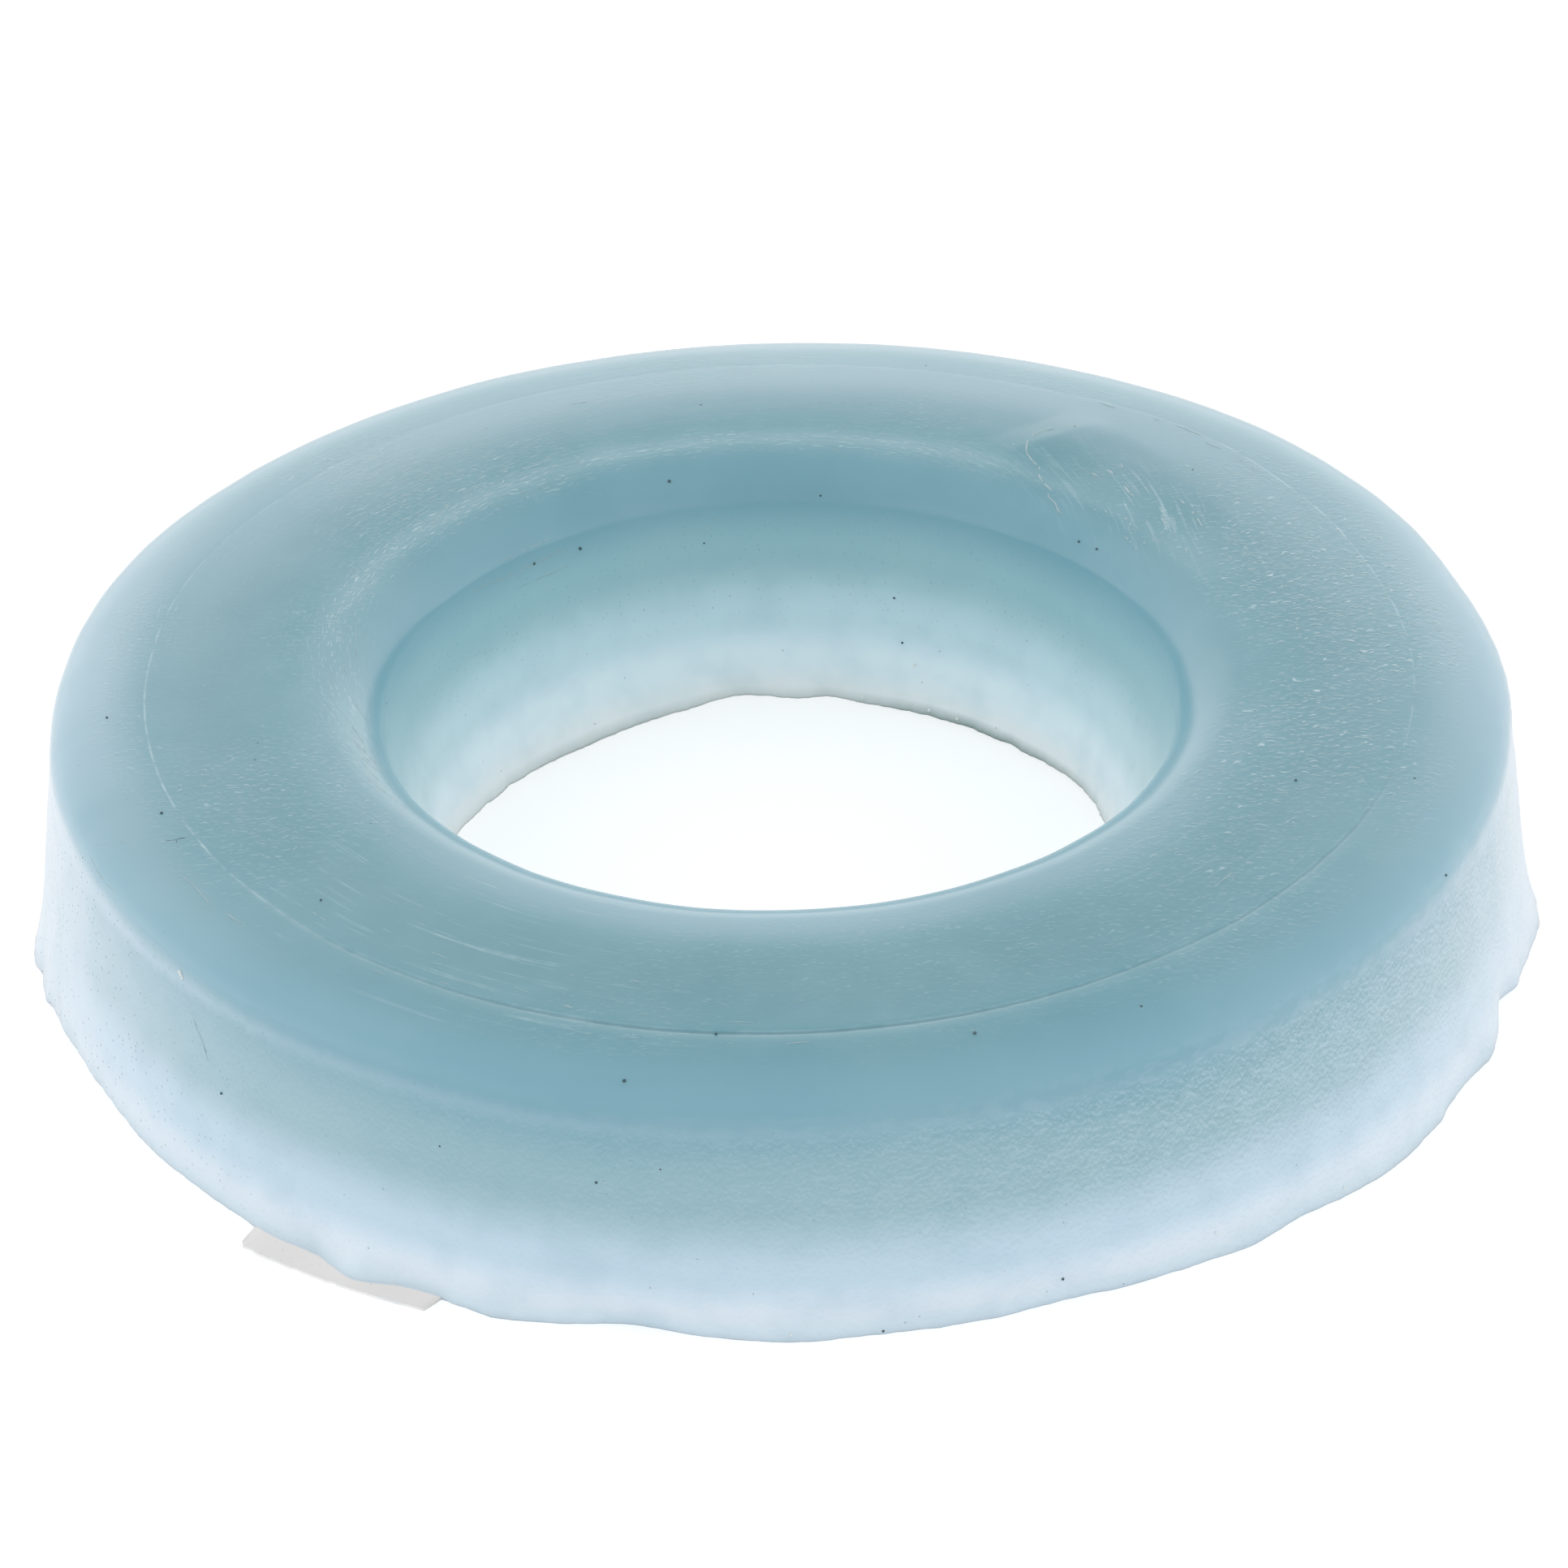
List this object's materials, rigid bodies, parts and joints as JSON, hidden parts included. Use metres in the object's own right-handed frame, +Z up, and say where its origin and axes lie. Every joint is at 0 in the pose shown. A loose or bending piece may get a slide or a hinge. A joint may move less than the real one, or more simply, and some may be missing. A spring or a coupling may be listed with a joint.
{
  "type": "toilet flange gasket",
  "caption": "Ring of soft petroleum wax with tapered walls, a wide rounded outer shoulder, a nearly flat top and a ragged foot, pressed between a toilet's outlet and its floor flange as the seal.",
  "frame": {"origin": "centre of the foot, on the surface that the ring lies on", "axes": "+Z up along the ring's axis, from the foot to the flat top; -Y is the side nearest the viewer in the picture"},
  "size_m": [0.1275, 0.1268, 0.0218],
  "materials": {
    "wax": "satin"
  },
  "bodies": {
    "root": {"wax_ring": "wax"}
  },
  "joints": []
}
